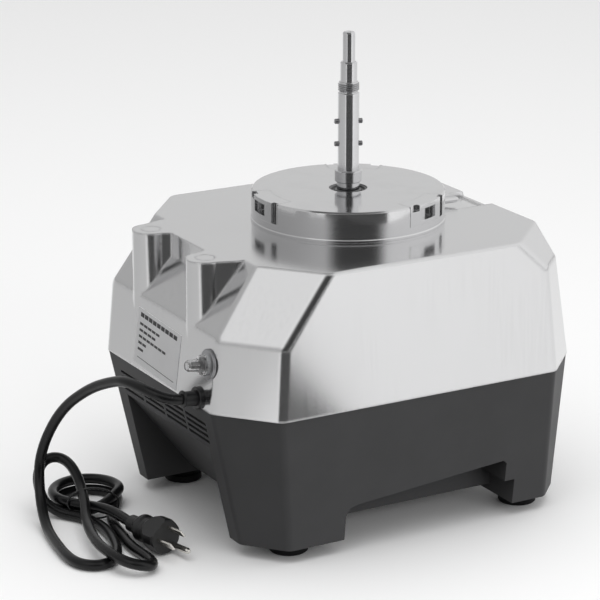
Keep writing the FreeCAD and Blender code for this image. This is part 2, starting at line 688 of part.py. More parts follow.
rear_turned("breaker_body", "BreakerBody", "breaker_x", "breaker_z", [
    ("0", "-34"), ("9", "-34"), ("9", "-4"), ("6.1", "-4"), ("6.1", "6.6"), ("3.3", "6.6"), ("3.3", "-10"),
    ("0", "-10")])
rear_turned("breaker_ring", "BreakerRing", "breaker_x", "breaker_z", [
    ("6.15", "0"), ("11", "0"), ("11", "1.5"), ("10.4", "2.1"), ("6.15", "2.1")])
rear_turned("breaker_collar", "BreakerCollar", "breaker_x", "breaker_z", [
    ("6.15", "2.1"), ("8", "2.1"), ("8", "4.4"), ("7.4", "5"), ("6.15", "5")])
rear_turned("breaker_boot", "BreakerBoot", "breaker_x", "breaker_z", [
    ("6.15", "5"), ("7.5", "5"), ("7.5", "7"), ("6.6", "8.4"), ("4.9", "9.8"), ("4.3", "17.6"), ("3.2", "19"),
    ("0", "19"), ("0", "17.8"), ("2.8", "17.8"), ("3.2", "16.8"), ("3.7", "9.4"), ("6.15", "7.2")])
rear_turned("reset_button", "ResetButton", "breaker_x", "breaker_z", [
    ("0", "-7.6"), ("3.2", "-7.6"), ("3.2", "7.2"), ("2.6", "7.8"), ("2.6", "14.6"), ("2.1", "15.2"),
    ("0", "15.2")])
rear_turned("cord_gland", "CordGland", "gland_x", "gland_z", [
    ("0", "-14"), ("6.2", "-14"), ("6.2", "0"), ("8.6", "0"), ("8.6", "2"), ("8", "2.6"), ("5.8", "2.6"),
    ("5.5", "gland_reach - 2"), ("6.4", "gland_reach - 1.6"), ("6.6", "gland_reach - 1"),
    ("6.2", "gland_reach - 0.3"), ("5.6", "gland_reach"), ("0", "gland_reach")])
rear_turned("gland_nut", "GlandNut", "gland_x", "gland_z", [
    ("6.25", "-9"), ("9", "-9"), ("9", "-4"), ("6.25", "-4")])
node("rating_label", padded("RatingLabel", [
    ("-35.7", "-21.8"), ("35.7", "-21.8"), ("35.7", "21.8"), ("-35.7", "21.8")], "0.3",
    on_rear("label_x", "label_z"), TO_BACK.multiply(about((0, 0, 1), -2.8))))


# ---------------------------------------------------------------- mains lead
def spot(x, y, z):
    """A point of the lead's route, given from the shaft's axis on the bench."""
    return V(x, y + number("axis_y"), z)


exit_x, exit_y, exit_z = (number(text) for text in on_rear("gland_x", "gland_z", "gland_reach"))
ROUTE = [
    spot(exit_x, exit_y, exit_z),
    spot(-66, 198, 128.6),
    spot(-56, 215, 132.5),
    spot(-30, 222, 134.5),
    spot(4, 219, 123),
    spot(34, 221, 105),
    spot(58, 229, 76),
    spot(66, 237, 44),
    spot(54, 242, 17),
    spot(30, 248.4, 4.15),
    spot(0, 254.5, 4.15),
    spot(-25, 257, 4.15),
]


def cord_tube(name, route, diameter):
    """Round tube along straight runs joined by tangent arcs as large as the runs allow."""
    edges = []
    last = route[0]
    length = 0.0
    for before, corner, after in zip(route, route[1:], route[2:]):
        back = (before - corner)
        onward = (after - corner)
        half_turn = (math.pi - back.getAngle(onward)) / 2
        reach = 0.45 * min(back.Length, onward.Length)
        radius = reach / math.tan(half_turn)
        start = corner + back.normalize() * reach
        stop = corner + onward.normalize() * reach
        to_centre = (back + onward).normalize() * (radius / math.cos(half_turn))
        middle = corner + to_centre + (corner - (corner + to_centre)).normalize() * radius
        edges.append(Part.makeLine(last, start))
        edges.append(Part.Arc(start, middle, stop).toShape())
        last = stop
        print(f"bend radius {radius:.1f} mm")
    edges.append(Part.makeLine(last, route[-1]))
    path = Part.Wire(edges)
    ring = Part.Wire(Part.makeCircle(diameter / 2, route[0], route[1] - route[0]))
    item = doc.addObject("Part::Feature", name)
    item.Shape = path.makePipeShell([ring], True, False)
    item.Placement = FreeCAD.Placement()
    whole = path.Length * math.pi * diameter ** 2 / 4
    print(f"lead's tube {path.Length:.1f} mm long, volume {item.Shape.Volume / whole:.4f} of section x length")
    return item


node("cord_tube", cord_tube("CordTube", ROUTE, number("cord_diameter")))
# the coil with the loop that stands up from it, then the loops that reach to the plug
node("cord_hank", padded("CordHank", [
    ("36", "188"), ("46", "172"), ("62", "165"), ("82", "167"), ("97", "182"), ("98", "206"), ("90", "226"),
    ("84", "232"), ("56", "232"), ("44", "226"), ("36", "214")], "43"))
node("cord_loops", padded("CordLoops", [
    ("36", "188"), ("36", "214"), ("20", "236"), ("-25", "240"), ("-25", "264"), ("-62", "264"),
    ("-78", "250"), ("-78", "210"), ("-64", "203"), ("-15", "207"), ("-12", "201"), ("-12", "190")], "17"))

# moulded plug, lying on its ground pin's side
plug_axis = V(-0.98, -0.18, 0.05).normalize()
plug_turn = FreeCAD.Rotation(V(0, 0.8, -0.6), V(), plug_axis, "ZXY")
plug_at = ("plug_x", "plug_y", "plug_z")
plug_round = turned("PlugRound", [
    ("0", "0"), ("4.8", "0"), ("6.6", "1.2"), ("6.6", "9"), ("9.6", "13.6"), ("10.6", "15.4"), ("10.6", "18.6"),
    ("9.8", "21"), ("9.8", "25"), ("12.6", "30"), ("13.8", "34"), ("13.8", "plug_length - 1.2"),
    ("12.8", "plug_length"), ("0", "plug_length")],
    plug_at, plug_turn)


def on_plug(x, y, z):
    """A point in the plug's own frame: x along its blades' line, z out of its face."""
    point = plug_turn.multVec(V(x, y, z))
    return (f"{plug_at[0]} + {point.x:.4f}", f"{plug_at[1]} + {point.y:.4f}", f"{plug_at[2]} + {point.z:.4f}")


plug_flat = box("PlugFlats", "25.6", "23.4", "60", on_plug(-12.8, -10.4, -1), plug_turn)
node("plug_body", common("PlugBody", plug_round, plug_flat))
blades = []
for side in (-1, 1):
    blades.append(box("PlugBlade", "1.5", "6.3", "16.6", on_plug(side * 6.35 - 0.75, -5.4, number("plug_length")), plug_turn))
node("plug_blades", group("PlugBlades", *blades))
node("plug_ground_pin", turned("GroundPin", [
    ("0", "0"), ("2.4", "0"), ("2.4", "18.6"), ("1.5", "20.6"), ("0", "21")], on_plug(0, 9.6, number("plug_length")), plug_turn))


# ---------------------------------------------------------------- check and write
doc.recompute()
for item in doc.Objects:
    if "Invalid" in item.State or "Error" in item.State:
        raise RuntimeError(f"{item.Name} did not build: {item.State}")
for name, item in NODES.items():
    shape = item.Shape
    if shape.isNull() or not shape.isValid() or not shape.Solids:
        raise RuntimeError(f"{name} is not a valid solid")
    shape.exportStep(f"parts/{name}.step")
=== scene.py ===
"""Looks of a bench-top vegetable cutter's motor base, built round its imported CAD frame.

The sections follow the machine as it is put together: the lead lies behind it, then come the
feet and moulded base, the motor, the cast housing, the bowl seat, the shaft, the controls and
the fittings on the rear wall, and last the studio. Metres throughout and +Z up, except that
the lead's route and the label's rows are written in millimetres.
"""
import math

import bmesh
import bpy
from mathutils import Matrix, Vector


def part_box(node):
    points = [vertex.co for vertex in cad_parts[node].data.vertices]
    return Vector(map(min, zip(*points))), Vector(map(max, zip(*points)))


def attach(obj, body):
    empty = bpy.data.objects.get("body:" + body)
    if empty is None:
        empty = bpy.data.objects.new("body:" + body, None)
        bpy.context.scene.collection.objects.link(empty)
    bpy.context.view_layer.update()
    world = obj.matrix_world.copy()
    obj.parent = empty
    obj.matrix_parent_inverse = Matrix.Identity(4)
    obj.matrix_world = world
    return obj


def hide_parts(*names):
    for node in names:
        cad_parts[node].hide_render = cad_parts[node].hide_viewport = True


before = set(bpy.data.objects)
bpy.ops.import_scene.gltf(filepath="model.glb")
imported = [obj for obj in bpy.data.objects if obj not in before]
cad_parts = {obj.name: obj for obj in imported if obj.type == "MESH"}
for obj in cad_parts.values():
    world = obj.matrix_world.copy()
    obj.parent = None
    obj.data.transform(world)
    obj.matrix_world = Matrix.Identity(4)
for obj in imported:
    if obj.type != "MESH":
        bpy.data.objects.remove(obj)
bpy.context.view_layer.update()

# ---------------------------------------------------------------- camera
# A long lens looks down on the machine from behind its right rear corner.
LOOK_AT = Vector((-0.0456, 0.0496, 0.1804))
SIGHT_LINE = Vector((0.8308, -0.4713, -0.2967))
CAMERA_BACK = 2.0
camera_data = bpy.data.cameras.new("studio_camera")
camera_data.sensor_width = 36
camera_data.lens = 159.3
camera = bpy.data.objects.new("studio_camera", camera_data)
camera.location = LOOK_AT - CAMERA_BACK * SIGHT_LINE
camera.rotation_euler = SIGHT_LINE.to_track_quat("-Z", "Y").to_euler()
bpy.context.scene.collection.objects.link(camera)
bpy.context.scene.camera = camera


# ---------------------------------------------------------------- mains lead
# Round three-core flex in a soft black jacket. It leaves the gland sideways, falls to the bench,
# and most of it is folded into loops that a twist tie holds together.
CORD_THICK = 0.0082
SHAFT_Y = (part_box("output_shaft")[0][1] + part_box("output_shaft")[1][1]) / 2
ON_BENCH = 4.2
ON_TOP = 12.4
COIL_AT = (68, 197)


def lead_point(x, y, z):
    """Millimetres from the shaft's axis on the bench, as a point of the frame."""
    return Vector((x / 1000, y / 1000 + SHAFT_Y, z / 1000))


def coil_part(first, last, steps, radii, heights):
    """Points round the coil from one bearing to another, in degrees."""
    part = []
    for step in range(steps + 1):
        share = step / steps
        bearing = math.radians(first + (last - first) * share)
        radius = radii[0] + (radii[1] - radii[0]) * share
        height = heights[0] + (heights[1] - heights[0]) * share
        part.append((COIL_AT[0] + radius * math.cos(bearing),
                     COIL_AT[1] + radius * math.sin(bearing), height))
    return part


# out of the gland, down to the bench and back in one wide sweep
lead_route = [
    (-66, 180.3, 126.8), (-66, 190, 127.6), (-56, 201, 133), (-34, 208, 135.5), (-15, 210, 130.8),
    (18, 216, 116), (50.8, 226, 89.7), (67.9, 236.6, 50.4), (57.4, 241.6, 20.7),
    (33, 247.8, ON_BENCH), (-1.4, 254.5, ON_BENCH), (-30, 258, ON_BENCH), (-46, 255, ON_BENCH),
    (-55, 244.5, ON_BENCH), (-52, 231, ON_BENCH), (-38, 221, ON_BENCH), (-14, 213, ON_BENCH),
    (8, 209, ON_BENCH), (26, 210.5, ON_BENCH)]
# the loop that stands up behind the sweep
lead_route += [
    (42, 217, ON_BENCH), (54, 226, 4.6), (64, 233.5, 10), (70, 236, 19), (77, 234.5, 29),
    (83.5, 228, 36), (86, 219.5, 39), (82.5, 211.5, 38.5), (73, 207.5, 35), (60, 207.5, 28.5),
    (48, 210, 22.5)]
# the long flat loop under the plug
lead_route += [
    (32, 215, 18.5), (12, 223.5, 13.5), (-12, 231, ON_TOP), (-38, 236, ON_TOP), (-60, 235, ON_TOP),
    (-73, 231, 11), (-80, 222.5, 9), (-78.5, 212.5, 6), (-68, 206.5, 4.4), (-52, 206.5, ON_BENCH),
    (-34, 207.5, ON_BENCH), (-10, 203.5, ON_BENCH), (12, 200, ON_BENCH), (30, 194, ON_BENCH),
    (45, 183.5, ON_BENCH)]
# about 1.6 turns of coil, the second on top of the first, then over to the plug
lead_route += coil_part(-98, 134, 8, (26.5, 24), (ON_BENCH, ON_BENCH))
lead_route += coil_part(164, 224, 2, (22.5, 24), (5, ON_TOP))
lead_route += coil_part(254, 480, 8, (27, 27), (13, ON_TOP))
lead_route += [(38, 208, 12.6), (20, 201, 14.5), (5, 197, 13), (-9.4, 195.6, ON_TOP)]

lead_curve = bpy.data.curves.new("mains_lead", "CURVE")
lead_curve.dimensions = "3D"
lead_curve.bevel_depth = CORD_THICK / 2
lead_curve.bevel_resolution = 6
lead_curve.resolution_u = 8
lead_curve.use_fill_caps = True
lead_spline = lead_curve.splines.new("NURBS")
lead_spline.points.add(len(lead_route) - 1)
for place, (x, y, z) in zip(lead_spline.points, lead_route):
    place.co = (*lead_point(x, y, z), 1)
lead_spline.order_u = 3
lead_spline.use_endpoint_u = True
mains_lead = bpy.data.objects.new("mains_lead", lead_curve)
bpy.context.scene.collection.objects.link(mains_lead)


def moulded(name, tint, roughness, grain_size, grain_depth, coat=0.0, shine=0.5):
    """Moulded plastic or rubber: a fine moulded grain, cloudy gloss and faint scuffs."""
    material = bpy.data.materials.new(name)
    material.use_nodes = True
    nodes, links = material.node_tree.nodes, material.node_tree.links
    nodes.clear()
    output = nodes.new("ShaderNodeOutputMaterial")
    output.location = (900, 0)
    shader = nodes.new("ShaderNodeBsdfPrincipled")
    shader.label = "moulding"
    shader.location = (620, 0)
    shader.inputs["Specular IOR Level"].default_value = shine
    shader.inputs["Coat Weight"].default_value = coat
    shader.inputs["Coat Roughness"].default_value = 0.3
    place = nodes.new("ShaderNodeTexCoord")
    place.label = "position on the moulding"
    place.location = (-700, 0)

    gloss = nodes.new("NodeFrame")
    gloss.label = "cloudy gloss"
    cloud = nodes.new("ShaderNodeTexNoise")
    cloud.label = "cloudy patches"
    cloud.location = (-440, 160)
    cloud.inputs["Scale"].default_value = 24
    cloud.inputs["Detail"].default_value = 4
    rough = nodes.new("ShaderNodeMapRange")
    rough.label = "gloss from patches"
    rough.location = (-180, 160)
    rough.inputs["To Min"].default_value = max(roughness - 0.07, 0.04)
    rough.inputs["To Max"].default_value = roughness + 0.1
    tone = nodes.new("ShaderNodeMix")
    tone.data_type = "RGBA"
    tone.label = "tone from patches"
    tone.location = (100, 220)
    tone.inputs["A"].default_value = (*(0.86 * part for part in tint), 1)
    tone.inputs["B"].default_value = (*(min(1.12 * part, 1) for part in tint), 1)
    for part in (cloud, rough, tone):
        part.parent = gloss

    surface = nodes.new("NodeFrame")
    surface.label = "moulded grain"
    grain = nodes.new("ShaderNodeTexNoise")
    grain.label = "spark-eroded grain"
    grain.location = (-440, -220)
    grain.inputs["Scale"].default_value = 1 / grain_size
    grain.inputs["Detail"].default_value = 3
    relief = nodes.new("ShaderNodeBump")
    relief.label = "grain relief"
    relief.location = (-120, -220)
    relief.inputs["Distance"].default_value = grain_depth
    relief.inputs["Strength"].default_value = 0.6
    for part in (grain, relief):
        part.parent = surface

    links.new(place.outputs["Object"], cloud.inputs["Vector"])
    links.new(place.outputs["Object"], grain.inputs["Vector"])
    links.new(cloud.outputs["Fac"], rough.inputs["Value"])
    links.new(cloud.outputs["Fac"], tone.inputs["Factor"])
    links.new(tone.outputs["Result"], shader.inputs["Base Color"])
    links.new(rough.outputs["Result"], shader.inputs["Roughness"])
    links.new(grain.outputs["Fac"], relief.inputs["Height"])
    links.new(relief.outputs["Normal"], shader.inputs["Normal"])
    links.new(shader.outputs["BSDF"], output.inputs["Surface"])
    return material


def finish_nodes(material, *names):
    """Gives CAD nodes their finish."""
    for name in names:
        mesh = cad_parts[name].data
        mesh.materials.clear()
        mesh.materials.append(material)


jacket = moulded("black_flex_jacket", (0.005, 0.005, 0.0054), 0.27, 0.0007, 0.00006, coat=0.05,
                 shine=0.3)
lead_curve.materials.append(jacket)

# The twist tie is a thin plastic ribbon with a wire core, drawn round all the strands.
TIE_AT = lead_point(39, 204.5, 13.4)
TIE_ACROSS = Vector((0.49, 0.87, 0))
TIE_HALF_WIDE = 0.0205
TIE_HALF_HIGH = 0.0128
TIE_HALF_THICK = 0.0008
TIE_POINTS = 16
tie_curve = bpy.data.curves.new("twist_tie", "CURVE")
tie_curve.dimensions = "3D"
tie_curve.bevel_depth = TIE_HALF_THICK
tie_curve.bevel_resolution = 3
tie_spline = tie_curve.splines.new("NURBS")
tie_spline.points.add(TIE_POINTS - 1)
for step, place in enumerate(tie_spline.points):
    angle = 2 * math.pi * step / TIE_POINTS
    spot = TIE_AT + TIE_ACROSS * TIE_HALF_WIDE * math.cos(angle)
    place.co = (*(spot + Vector((0, 0, TIE_HALF_HIGH * math.sin(angle)))), 1)
tie_spline.use_cyclic_u = True
twist_tie = bpy.data.objects.new("twist_tie", tie_curve)
bpy.context.scene.collection.objects.link(twist_tie)
tie_curve.materials.append(moulded("tie_ribbon", (0.012, 0.012, 0.0125), 0.25, 0.001, 0.00003))
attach(twist_tie, "base")

plug_black = moulded("plug_moulding", (0.008, 0.008, 0.0085), 0.42, 0.0005, 0.00008, coat=0.1)
finish_nodes(plug_black, "plug_body")

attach(mains_lead, "base")
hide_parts("cord_tube", "cord_hank", "cord_loops")


def polished(name, tint, roughness, grain, cloud_scale, anisotropy=0.0, edge=0.0005):
    """Bare metal: fine polishing lines along one way, cloudy gloss and softly broken edges."""
    material = bpy.data.materials.new(name)
    material.use_nodes = True
    nodes, links = material.node_tree.nodes, material.node_tree.links
    nodes.clear()
    output = nodes.new("ShaderNodeOutputMaterial")
    output.location = (980, 0)
    shader = nodes.new("ShaderNodeBsdfPrincipled")
    shader.label = "bare metal"
    shader.location = (700, 0)
    shader.inputs["Metallic"].default_value = 1.0
    shader.inputs["Anisotropic"].default_value = anisotropy
    place = nodes.new("ShaderNodeTexCoord")
    place.label = "position on the metal"
    place.location = (-1000, 0)

    lines = nodes.new("NodeFrame")
    lines.label = "polishing lines"
    stretch = nodes.new("ShaderNodeMapping")
    stretch.label = "lines run one way"
    stretch.location = (-760, -180)
    stretch.inputs["Scale"].default_value = grain
    scratch = nodes.new("ShaderNodeTexNoise")
    scratch.label = "fine lines"
    scratch.location = (-520, -180)
    scratch.inputs["Scale"].default_value = 1
    scratch.inputs["Detail"].default_value = 2
    relief = nodes.new("ShaderNodeBump")
    relief.label = "line relief"
    relief.location = (80, -260)
    relief.inputs["Distance"].default_value = 0.00001
    relief.inputs["Strength"].default_value = 0.12
    soft_edge = nodes.new("ShaderNodeBevel")
    soft_edge.label = "broken edges"
    soft_edge.location = (-180, -420)
    soft_edge.samples = 4
    soft_edge.inputs["Radius"].default_value = edge
    for part in (stretch, scratch, relief, soft_edge):
        part.parent = lines

    wear = nodes.new("NodeFrame")
    wear.label = "cloudy polish"
    cloud = nodes.new("ShaderNodeTexNoise")
    cloud.label = "buffed patches"
    cloud.location = (-520, 200)
    cloud.inputs["Scale"].default_value = cloud_scale
    cloud.inputs["Detail"].default_value = 3
    blend = nodes.new("ShaderNodeMath")
    blend.operation = "ADD"
    blend.label = "patches and lines"
    blend.location = (-260, 120)
    rough = nodes.new("ShaderNodeMapRange")
    rough.label = "gloss"
    rough.location = (0, 120)
    rough.inputs["From Max"].default_value = 2
    rough.inputs["To Min"].default_value = roughness * 0.65
    rough.inputs["To Max"].default_value = roughness * 1.35
    tone = nodes.new("ShaderNodeMix")
    tone.data_type = "RGBA"
    tone.label = "tone of the metal"
    tone.location = (260, 240)
    tone.inputs["A"].default_value = (*(0.93 * part for part in tint), 1)
    tone.inputs["B"].default_value = (*(min(1.05 * part, 1) for part in tint), 1)
    for part in (cloud, blend, rough, tone):
        part.parent = wear

    links.new(place.outputs["Object"], stretch.inputs["Vector"])
    links.new(stretch.outputs["Vector"], scratch.inputs["Vector"])
    links.new(scratch.outputs["Fac"], relief.inputs["Height"])
    links.new(soft_edge.outputs["Normal"], relief.inputs["Normal"])
    links.new(relief.outputs["Normal"], shader.inputs["Normal"])
    links.new(place.outputs["Object"], cloud.inputs["Vector"])
    links.new(cloud.outputs["Fac"], blend.inputs[0])
    links.new(scratch.outputs["Fac"], blend.inputs[1])
    links.new(blend.outputs["Value"], rough.inputs["Value"])
    links.new(blend.outputs["Value"], tone.inputs["Factor"])
    links.new(rough.outputs["Result"], shader.inputs["Roughness"])
    links.new(tone.outputs["Result"], shader.inputs["Base Color"])
    links.new(shader.outputs["BSDF"], output.inputs["Surface"])
    return material


plated = polished("nickel_plated_brass", (0.72, 0.7, 0.66), 0.22, (900, 900, 900), 60)
finish_nodes(plated, "plug_blades", "plug_ground_pin")


# ---------------------------------------------------------------- feet and moulded base
# The base is one thick charcoal moulding with four hollow legs. Screw-on rubber feet lift it,
# and a slotted hatch closes the belly under the motor.
foot_rubber = moulded("foot_rubber", (0.007, 0.007, 0.0075), 0.62, 0.0006, 0.0001, shine=0.2)
finish_nodes(foot_rubber, "foot_rear_left", "foot_rear_right", "foot_front_left",
             "foot_front_right")
charcoal = moulded("charcoal_moulding", (0.088, 0.088, 0.09), 0.48, 0.0005, 0.00008, shine=0.1)
finish_nodes(charcoal, "base_shell", "bottom_cover")
zinc = polished("zinc_plated_screws", (0.6, 0.6, 0.62), 0.34, (700, 700, 700), 90)
finish_nodes(zinc, "cover_screws", "foot_screws", "seat_screws", "panel_screws", "motor_bolts")


# ---------------------------------------------------------------- motor
# A vertical induction motor hangs from the housing: cast bells, a stack of laminations with
# enamelled windings, a rotor with its cooling fan below, and a run capacitor in a clip.
raw_casting = polished("raw_bell_casting", (0.55, 0.55, 0.56), 0.45, (300, 300, 300), 40)
finish_nodes(raw_casting, "motor_upper_bell", "motor_lower_bell")
laminations = polished("lamination_stack", (0.3, 0.3, 0.32), 0.5, (40, 40, 2000), 30)
finish_nodes(laminations, "stator_core", "rotor_core", "capacitor_clip")
copper = polished("enamelled_copper", (0.62, 0.26, 0.1), 0.36, (1400, 1400, 500), 50)
finish_nodes(copper, "stator_windings")
bearing_steel = polished("bearing_steel", (0.7, 0.7, 0.72), 0.2, (600, 600, 600), 60)
finish_nodes(bearing_steel, "upper_bearing", "lower_bearing")
grey_moulding = moulded("grey_moulding", (0.32, 0.32, 0.33), 0.4, 0.0006, 0.00006)
finish_nodes(grey_moulding, "cooling_fan", "run_capacitor", "board_posts", "gland_nut",
             "start_contacts", "pulse_contacts", "stop_contacts")
solder_mask = moulded("solder_mask", (0.012, 0.12, 0.05), 0.3, 0.001, 0.00005, coat=0.4)
finish_nodes(solder_mask, "control_board")


# ---------------------------------------------------------------- cast housing
# The aluminium casting is linished and buffed all over. Its two rear bosses are closed by
# press-in plugs that are buffed flush with it.
housing_metal = polished("buffed_casting", (0.65, 0.65, 0.655), 0.15, (420, 420, 14), 9,
                         edge=0.0028)
finish_nodes(housing_metal, "upper_housing", "boss_plugs")


# ---------------------------------------------------------------- bowl seat
# The bowl locks on a turned and polished ring. Three hardened blocks with bayonet tracks are
# let into its rim, and a sprung pin through the rim tells the switch that the bowl is on.
seat_metal = polished("turned_seat", (0.64, 0.64, 0.645), 0.13, (60, 60, 900), 12, edge=0.0005)
finish_nodes(seat_metal, "bowl_seat", "bayonet_lug_1", "bayonet_lug_2", "bayonet_lug_3",
             "interlock_plunger")
switch_black = moulded("switch_moulding", (0.014, 0.014, 0.015), 0.36, 0.0006, 0.00005)
finish_nodes(switch_black, "interlock_switch")
seal_rubber = moulded("seal_rubber", (0.012, 0.012, 0.013), 0.28, 0.0009, 0.00004, coat=0.2)
finish_nodes(seal_rubber, "shaft_seal")


# ---------------------------------------------------------------- output shaft
# Ground stainless shaft in steps, with a short thread under its spigot and two cross pins
# that drive the discs.
shaft_metal = polished("ground_shaft", (0.62, 0.62, 0.63), 0.14, (50, 50, 1500), 30, edge=0.0003)
finish_nodes(shaft_metal, "output_shaft", "shaft_collar")
pin_metal = polished("hardened_pins", (0.34, 0.34, 0.35), 0.3, (700, 700, 700), 60, edge=0.0003)
finish_nodes(pin_metal, "drive_pins")
THREAD_LOW = 0.3256
THREAD_HIGH = 0.3316
THREAD_PITCH = 0.0015
THREAD_ROOT = 0.00762
THREAD_CREST = 0.00815
THREAD_SIDES = 48
THREAD_FLANK = 0.0006
THREAD_FLAT = 0.0001


def new_piece(name, mesh, material, smooth=True):
    """Turns a finished bmesh into a piece of the scene."""
    bmesh.ops.recalc_face_normals(mesh, faces=mesh.faces)
    data = bpy.data.meshes.new(name)
    mesh.to_mesh(data)
    mesh.free()
    data.materials.append(material)
    for face in data.polygons:
        face.use_smooth = smooth
    piece = bpy.data.objects.new(name, data)
    bpy.context.scene.collection.objects.link(piece)
    return piece


thread = bmesh.new()
turns = int((THREAD_HIGH - THREAD_LOW) / THREAD_PITCH)
path = []
for step in range(turns * THREAD_SIDES + 1):
    angle = 2 * math.pi * step / THREAD_SIDES
    rise = THREAD_LOW + THREAD_PITCH * step / THREAD_SIDES
    profile = []
    for radius, lift in ((THREAD_ROOT, -THREAD_FLANK), (THREAD_CREST, -THREAD_FLAT),
                         (THREAD_CREST, THREAD_FLAT), (THREAD_ROOT, THREAD_FLANK)):
        profile.append(thread.verts.new((radius * math.cos(angle),
                                         SHAFT_Y + radius * math.sin(angle), rise + lift)))
    path.append(profile)
for here, after in zip(path, path[1:]):
    for side in range(4):
        nxt = (side + 1) % 4
        thread.faces.new((here[side], here[nxt], after[nxt], after[side]))
thread.faces.new(path[0])
thread.faces.new(list(reversed(path[-1])))
shaft_thread = new_piece("shaft_thread", thread, pin_metal, smooth=False)
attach(shaft_thread, "shaft")


# ---------------------------------------------------------------- front controls
# Three push-buttons stand in bezels on a screwed steel panel: green starts, black pulses,
# red stops.
panel_film = moulded("panel_film", (0.07, 0.07, 0.075), 0.3, 0.0008, 0.00003, coat=0.3)
finish_nodes(panel_film, "control_panel")
control_black = moulded("bezel_moulding", (0.014, 0.014, 0.015), 0.3, 0.0007, 0.00004, coat=0.2)
finish_nodes(control_black, "start_bezel", "pulse_bezel", "stop_bezel", "pulse_button",
             "breaker_body", "reset_button")
start_green = moulded("start_green", (0.01, 0.2, 0.05), 0.28, 0.0008, 0.00003, coat=0.4)
finish_nodes(start_green, "start_button")
stop_red = moulded("stop_red", (0.38, 0.01, 0.01), 0.28, 0.0008, 0.00003, coat=0.4)
finish_nodes(stop_red, "stop_button")


# ---------------------------------------------------------------- rear wall fittings
# The reset breaker stands out through a knurled ring under a clear rubber boot. Below it the
# lead comes through a flanged gland, and beside it is a printed foil label.
gland_black = moulded("gland_moulding", (0.006, 0.006, 0.0065), 0.38, 0.0006, 0.00006)
finish_nodes(gland_black, "cord_gland")


def clear_rubber(name, tint, roughness, weight):
    """Soft see-through moulding with a faint milky body."""
    material = bpy.data.materials.new(name)
    material.use_nodes = True
    nodes, links = material.node_tree.nodes, material.node_tree.links
    nodes.clear()
    output = nodes.new("ShaderNodeOutputMaterial")
    output.location = (500, 0)
    shader = nodes.new("ShaderNodeBsdfPrincipled")
    shader.label = "clear rubber"
    shader.location = (220, 0)
    shader.inputs["Base Color"].default_value = (*tint, 1)
    shader.inputs["Transmission Weight"].default_value = weight
    shader.inputs["IOR"].default_value = 1.41
    place = nodes.new("ShaderNodeTexCoord")
    place.location = (-560, 0)
    haze = nodes.new("ShaderNodeTexNoise")
    haze.label = "mould haze"
    haze.location = (-340, 0)
    haze.inputs["Scale"].default_value = 300
    rough = nodes.new("ShaderNodeMapRange")
    rough.label = "gloss from haze"
    rough.location = (-80, 0)
    rough.inputs["To Min"].default_value = roughness * 0.7
    rough.inputs["To Max"].default_value = roughness * 1.4
    links.new(place.outputs["Object"], haze.inputs["Vector"])
    links.new(haze.outputs["Fac"], rough.inputs["Value"])
    links.new(rough.outputs["Result"], shader.inputs["Roughness"])
    links.new(shader.outputs["BSDF"], output.inputs["Surface"])
    return material


finish_nodes(pin_metal, "breaker_ring")
finish_nodes(clear_rubber("boot_rubber", (0.96, 0.96, 0.965), 0.1, 0.97), "breaker_boot")
finish_nodes(clear_rubber("collar_plastic", (0.9, 0.91, 0.92), 0.12, 0.8), "breaker_collar")

REAR_SLOPE = 0.1
REAR_LEAN = math.atan(REAR_SLOPE)
REAR_OUT = Vector((0, math.cos(REAR_LEAN), math.sin(REAR_LEAN)))
REAR_UP = Vector((0, -math.sin(REAR_LEAN), math.cos(REAR_LEAN)))
ring_low, ring_high = (Vector(corner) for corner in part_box("breaker_ring"))
RING_MIDDLE = (ring_low + ring_high) / 2
RING_RADIUS = (ring_high.x - ring_low.x) / 2
KNURLS = 40
KNURL_SIZE = (0.0009, 0.0009, 0.0015)
knurl = bmesh.new()
for step in range(KNURLS):
    tooth = bmesh.ops.create_cube(knurl, size=1.0)["verts"]
    shape = Matrix.Diagonal((*KNURL_SIZE, 1))
    lift = Matrix.Translation((RING_RADIUS, 0, 0)) @ Matrix.Rotation(math.radians(45), 4, "Z")
    spin = Matrix.Rotation(2 * math.pi * step / KNURLS, 4, "Z")
    stand = REAR_OUT.to_track_quat("Z", "Y").to_matrix().to_4x4()
    bmesh.ops.transform(knurl, matrix=Matrix.Translation(RING_MIDDLE) @ stand @ spin @ lift @ shape,
                        verts=tooth)
breaker_knurl = new_piece("breaker_knurl", knurl, pin_metal, smooth=False)
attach(breaker_knurl, "base")

label_film = moulded("label_film", (0.86, 0.86, 0.87), 0.34, 0.0009, 0.00002)
finish_nodes(label_film, "rating_label")
label_ink = moulded("label_ink", (0.03, 0.03, 0.032), 0.5, 0.0009, 0.00001)
LABEL_TILT = math.radians(2.8)
BAR_PITCH = 7
BAR_SHARE = 0.86
PRINT_PROUD = 0.00022
LABEL_ROWS = [
    # start from the left edge, height above the middle, length and thickness, in millimetres
    (-31, 15.5, 62, 3.4), (-31, 9, 34, 2.0), (-31, 4, 28, 2.0), (-31, -1, 46, 2.0),
    (-31, -6, 14, 2.0), (-31, -11, 9, 2.0), (-31, -17, 62, 0.5)]
label_low, label_high = (Vector(corner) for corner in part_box("rating_label"))
LABEL_MIDDLE = (label_low + label_high) / 2
across = Vector((-math.cos(LABEL_TILT), 0, 0)) - REAR_UP * math.sin(LABEL_TILT)
upward = REAR_OUT.cross(across).normalized()
ink = bmesh.new()
for start, height, length, thick in LABEL_ROWS:
    bars = max(1, round(length / BAR_PITCH)) if thick > 1 else 1
    top = height + thick
    for bar in range(bars):
        left = start + bar * length / bars
        right = left + length / bars * (BAR_SHARE if bars > 1 else 1)
        corners = []
        for reach, rise in ((left, height), (right, height), (right, top), (left, top)):
            spot = LABEL_MIDDLE + (across * reach + upward * rise) / 1000 + REAR_OUT * PRINT_PROUD
            corners.append(ink.verts.new(spot))
        ink.faces.new(corners)
label_print = new_piece("label_print", ink, label_ink, smooth=False)
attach(label_print, "base")


